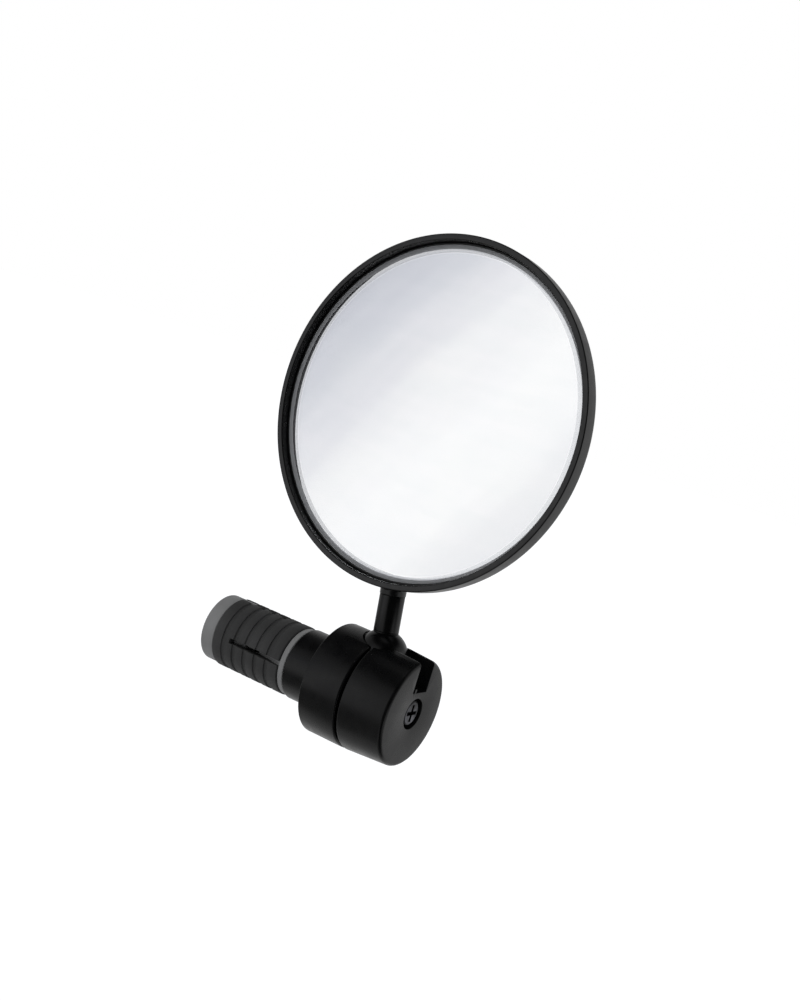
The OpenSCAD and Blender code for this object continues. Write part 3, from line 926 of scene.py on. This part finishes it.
def foam_pad():
    """A disc of double-sided foam tape: slightly uneven at its cut edge."""
    top = [(r, glass_back(r) - COAT_T - FIT_GAP) for r in radii(FOAM_R - 0.15)]
    rim_top = glass_back(FOAM_R) - COAT_T - FIT_GAP
    edge = [
        (FOAM_R, rim_top - 0.15),
        (FOAM_R - 0.12, (rim_top + FOAM_FLOOR_Z) / 2),
        (FOAM_R, FOAM_FLOOR_Z + 0.15)]
    bottom = [(FOAM_R - 0.15, FOAM_FLOOR_Z), (0, FOAM_FLOOR_Z)]

    def wavy(r, z, angle):
        return r - 0.04 * (1 + math.sin(37 * angle) * math.sin(23 * angle + 1)) if r > FOAM_R - 1 else r

    obj = lathe("foam_pad_visual", top + edge + bottom, HEAD_SEGMENTS, wavy)
    finished(obj, FACE, "mirror_head", "foam", foam_grey, "foam_pad")
    return obj


# ---------- the CAD nodes that stay ----------


def kept(node, material):
    """Gives a CAD node a better material."""
    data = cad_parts[node].data
    data.materials.clear()
    data.materials.append(material)


inner_collar()
end_cap()
clamp_screw()
front_cone()
rear_cone()
captive_nut()
expander_sleeve()
stem_ball()
ball_washer()
stem_rod()
mirror_case()
mirror_glass()
reflective_coat()
edge_gasket()
foam_pad()
kept("alignment_dowels", bright_steel)
kept("friction_pad", pale_resin)
kept("flat_washer", black_steel)
kept("spring_washer", black_steel)
kept("ball_screw", bright_steel)

# ---------- studio ----------

FLOOR_Z = -0.30
FLOOR_LIFT = 0.34


def add_floor():
    bpy.ops.mesh.primitive_plane_add(size=16, location=(0, 0, FLOOR_Z))
    floor = bpy.context.object
    floor.name = "studio_floor"
    material = bpy.data.materials.new("studio_floor")
    material.use_nodes = True
    tree = material.node_tree
    shader = tree.nodes["Principled BSDF"]
    shader.inputs["Base Color"].default_value = (0.86, 0.86, 0.87, 1)
    shader.inputs["Roughness"].default_value = 0.9
    shader.inputs["Specular IOR Level"].default_value = 0.0
    # what the floor lacks to pure white is added for the camera alone, so that the object's shadow stays
    lift = tree.nodes.new("ShaderNodeEmission")
    camera_only = tree.nodes.new("ShaderNodeMath")
    camera_only.operation = "MULTIPLY"
    camera_only.inputs[1].default_value = FLOOR_LIFT
    tree.links.new(tree.nodes.new("ShaderNodeLightPath").outputs["Is Camera Ray"], camera_only.inputs[0])
    tree.links.new(camera_only.outputs[0], lift.inputs["Strength"])
    total = tree.nodes.new("ShaderNodeAddShader")
    tree.links.new(shader.outputs["BSDF"], total.inputs[0])
    tree.links.new(lift.outputs["Emission"], total.inputs[1])
    tree.links.new(total.outputs["Shader"], tree.nodes["Material Output"].inputs["Surface"])
    floor.data.materials.append(material)
    floor.visible_glossy = False
    floor.visible_transmission = False


AMBIENT = 0.6
# Brightness of the studio from straight down to straight up, by the height of the direction
ROOM_STOPS = (
    (-1.0, 0.6),
    (-0.72, 1.0),
    (-0.45, 0.8),
    (-0.1, 0.8),
    (0.22, 0.76),
    (0.55, 0.6),
    (0.78, 0.03),
    (0.9, 0.03),
    (1.0, 0.5))
# ... and from the room's left to its right, which is the way out along the bar
SIDE_STOPS = ((-1.0, 0.55), (-0.7, 0.6), (-0.4, 0.8), (0.5, 0.77), (0.65, 1.0), (1.0, 1.0))
# Darker parts of the room: the side that the camera stands on, and the floor in front
DARK_SIDES = (
    ((0.82, -0.57, 0.0), 0.43, 0.70, 0.03),
    ((0.65, -0.10, -0.75), 0.72, 0.90, 0.10),
    ((-0.45, -0.60, -0.66), 0.85, 0.97, 0.30))
# A low lamp out along the bar, which shapes the barrel's end face when it is seen from that side
LOW_LAMP = ((0.955, -0.02, -0.30), 0.93, 0.975, 0.7)
# The broad soft light, from its dim side to its bright side
PANEL_STOPS = (
    (-0.20, (0.50, 0.51, 0.56)),
    (-0.15, (0.62, 0.63, 0.68)),
    (-0.11, (0.70, 0.71, 0.75)),
    (-0.07, (0.81, 0.81, 0.84)),
    (-0.03, (0.92, 0.92, 0.93)),
    (0.04, (1.0, 1.0, 1.0)),
    (0.10, (0.99, 0.99, 0.99)),
    (0.15, (0.90, 0.90, 0.91)),
    (0.20, (0.84, 0.84, 0.86)))
# The way the mirror looks from the camera's place, and the slope of the soft light that it shows
MIRRORED_CENTRE = (-0.6053, -0.7778, 0.0554)
LIGHT_SLOPE = (0.661, -0.545, -0.517)
STREAK_ALONG = (0.44, -0.279, 0.855)


def add_world():
    """White for the camera. Reflections see a pale studio with darker sides and one broad soft light."""
    world = bpy.data.worlds.new("studio")
    bpy.context.scene.world = world
    world.use_nodes = True
    tree = world.node_tree
    tree.nodes.clear()

    def node(kind, mode=None, **inputs):
        made = tree.nodes.new("ShaderNode" + kind)
        if mode:
            made.operation = mode
        for key, value in inputs.items():
            key = int(key[1:]) if key[1:].isdigit() else key.replace("_", " ")
            if isinstance(value, bpy.types.Node):
                value = value.outputs[0]
            if isinstance(value, bpy.types.NodeSocket):
                tree.links.new(value, made.inputs[key])
            else:
                made.inputs[key].default_value = value
        return made

    def ramp(value, low, high, stops, smooth="EASE"):
        place = node("MapRange", Value=value, From_Min=low, From_Max=high).outputs["Result"]
        made = node("ValToRGB", Fac=place)
        made.color_ramp.interpolation = smooth
        elements = made.color_ramp.elements
        while len(elements) < len(stops):
            elements.new(0.5)
        for element, (at, colour) in zip(elements, stops):
            element.position = (at - low) / (high - low)
            element.color = (*colour, 1) if isinstance(colour, tuple) else (colour, colour, colour, 1)
        return made.outputs["Color"]

    def along(axis):
        return node("VectorMath", "DOT_PRODUCT", _0=direction, _1=axis).outputs["Value"]

    rays = node("LightPath")
    direction = node("TexCoord").outputs["Generated"]
    height = node("SeparateXYZ", Vector=direction).outputs["Z"]
    room = ramp(height, -1.0, 1.0, ROOM_STOPS)
    across = ramp(node("SeparateXYZ", Vector=direction).outputs["X"], -1.0, 1.0, SIDE_STOPS)
    room = node("VectorMath", "MULTIPLY", _0=room, _1=across).outputs["Vector"]
    for side, start, full, left in DARK_SIDES:
        shade = ramp(along(side), start, full, ((start, 1.0), (full, left)))
        room = node("VectorMath", "MULTIPLY", _0=room, _1=shade).outputs["Vector"]
    side, start, full, level = LOW_LAMP
    lamp = ramp(along(side), start, full, ((start, 0.0), (full, level)))
    room = node("VectorMath", "ADD", _0=room, _1=lamp).outputs["Vector"]
    slope = along(LIGHT_SLOPE)
    drawn_out = node("Math", "MULTIPLY", _0=along(STREAK_ALONG), _1=0.16)
    streak_place = node("CombineXYZ", X=slope, Y=drawn_out)
    streaks = node("TexNoise", Vector=streak_place, Scale=26.0, Detail=2.5, Roughness=0.5).outputs["Fac"]
    swing = node("Math", "SUBTRACT", _0=streaks, _1=0.5)
    swayed = node("Math", "MULTIPLY_ADD", _0=swing, _1=0.07, _2=slope)
    panel = ramp(swayed.outputs[0], -0.22, 0.22, PANEL_STOPS, "LINEAR")
    near = ramp(along(MIRRORED_CENTRE), 0.86, 0.96, ((0.86, 0.0), (0.96, 1.0)))
    mixed = tree.nodes.new("ShaderNodeMix")
    mixed.data_type = "RGBA"
    colours = [s for s in mixed.inputs if s.type == "RGBA"]
    tree.links.new(near, mixed.inputs[0])
    tree.links.new(room, colours[0])
    tree.links.new(panel, colours[1])
    mirrored = node("Background", Color=next(s for s in mixed.outputs if s.type == "RGBA"), Strength=1.0)
    ambient = node("Background", Color=(0.97, 0.985, 1.0, 1), Strength=AMBIENT)
    seen = node("Background", Color=(1, 1, 1, 1), Strength=1.0)
    sharp = node("Math", "MAXIMUM", _0=rays.outputs["Is Glossy Ray"], _1=rays.outputs["Is Transmission Ray"])
    first = node("MixShader", Fac=sharp.outputs[0], _1=ambient.outputs[0], _2=mirrored.outputs[0])
    second = node("MixShader", Fac=rays.outputs["Is Camera Ray"], _1=first.outputs[0], _2=seen.outputs[0])
    node("OutputWorld", Surface=second.outputs[0])


def add_sun(name, place, strength, spread):
    """A distant soft lamp, which lights the floor evenly. place says where it shines from."""
    data = bpy.data.lights.new(name, "SUN")
    data.energy = strength
    data.angle = math.radians(spread)
    lamp = bpy.data.objects.new(name, data)
    bpy.context.scene.collection.objects.link(lamp)
    lamp.rotation_euler = (-Vector(place)).to_track_quat("-Z", "Y").to_euler()
    lamp.visible_glossy = False
    return lamp


CAMERA_PLACE = Vector((0.154315, -0.273223, 0.080695))
CAMERA_RIGHT = Vector((0.8218, 0.49154, 0.28816))
CAMERA_DOWN = Vector((0.30592, 0.04601, -0.95094))
CAMERA_FORWARD = Vector((-0.48069, 0.86964, -0.11257))
CAMERA_LENS = 48.706


def add_camera():
    data = bpy.data.cameras.new("camera")
    data.sensor_width = 36
    data.lens = CAMERA_LENS
    data.clip_start = 0.01
    camera = bpy.data.objects.new("camera", data)
    bpy.context.scene.collection.objects.link(camera)
    axes = Matrix((CAMERA_RIGHT, -CAMERA_DOWN, -CAMERA_FORWARD)).transposed()
    camera.matrix_world = Matrix.Translation(CAMERA_PLACE) @ axes.to_4x4()
    bpy.context.scene.camera = camera


add_floor()
add_world()
add_sun("key", (-0.5, -0.6, 0.8), 0.8, 40)
add_sun("fill", (0.7, 0.3, 0.5), 0.4, 60)
add_camera()

bpy.context.scene.view_settings.view_transform = "Standard"
